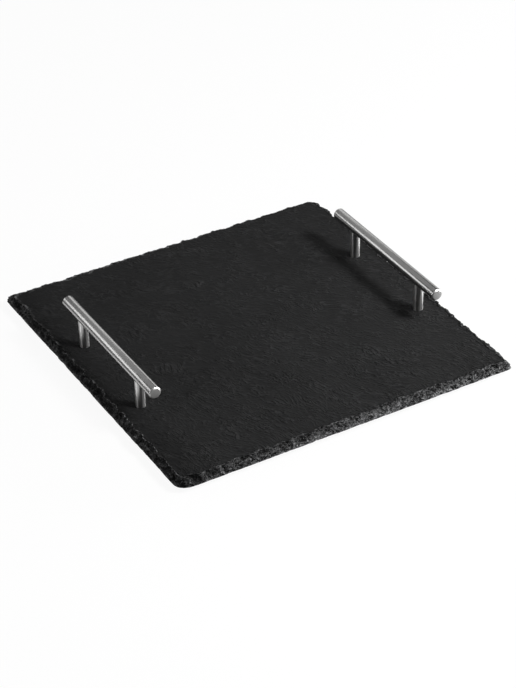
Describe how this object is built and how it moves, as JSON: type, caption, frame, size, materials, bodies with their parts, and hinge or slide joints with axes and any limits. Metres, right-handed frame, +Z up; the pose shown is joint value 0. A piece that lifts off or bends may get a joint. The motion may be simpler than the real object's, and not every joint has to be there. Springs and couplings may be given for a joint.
{
  "type": "slate serving board",
  "caption": "Square board of split slate with knapped edges, a round steel bar handle on posts along two opposite sides, and rubber feet underneath.",
  "frame": {"origin": "on the table plane, under the centre of the board", "axes": "+X from the left handle to the right one, +Y away from the viewer along the handles, +Z up"},
  "size_m": [0.3, 0.3, 0.045],
  "materials": {
    "slate": "natural split slate, matt with fine riven grain; broken edges rougher and a little lighter",
    "brushed_stainless": "satin stainless steel, fine turned grain round the bar and the posts",
    "fastener_steel": "bright stainless screws, studs and washers",
    "foot_rubber": "matt black moulded rubber"
  },
  "bodies": {
    "root": {"slate_board": "slate", "grip_bar_left": "brushed_stainless", "grip_bar_right": "brushed_stainless", "post_left_front": "brushed_stainless", "post_left_back": "brushed_stainless", "post_right_front": "brushed_stainless", "post_right_back": "brushed_stainless", "joining_stud_left_front": "fastener_steel", "joining_stud_left_back": "fastener_steel", "joining_stud_right_front": "fastener_steel", "joining_stud_right_back": "fastener_steel", "board_screw_left_front": "fastener_steel", "board_screw_left_back": "fastener_steel", "board_screw_right_front": "fastener_steel", "board_screw_right_back": "fastener_steel", "washer_left_front": "fastener_steel", "washer_left_back": "fastener_steel", "washer_right_front": "fastener_steel", "washer_right_back": "fastener_steel", "foot_left_front": "foot_rubber", "foot_left_back": "foot_rubber", "foot_right_front": "foot_rubber", "foot_right_back": "foot_rubber"}
  },
  "joints": []
}
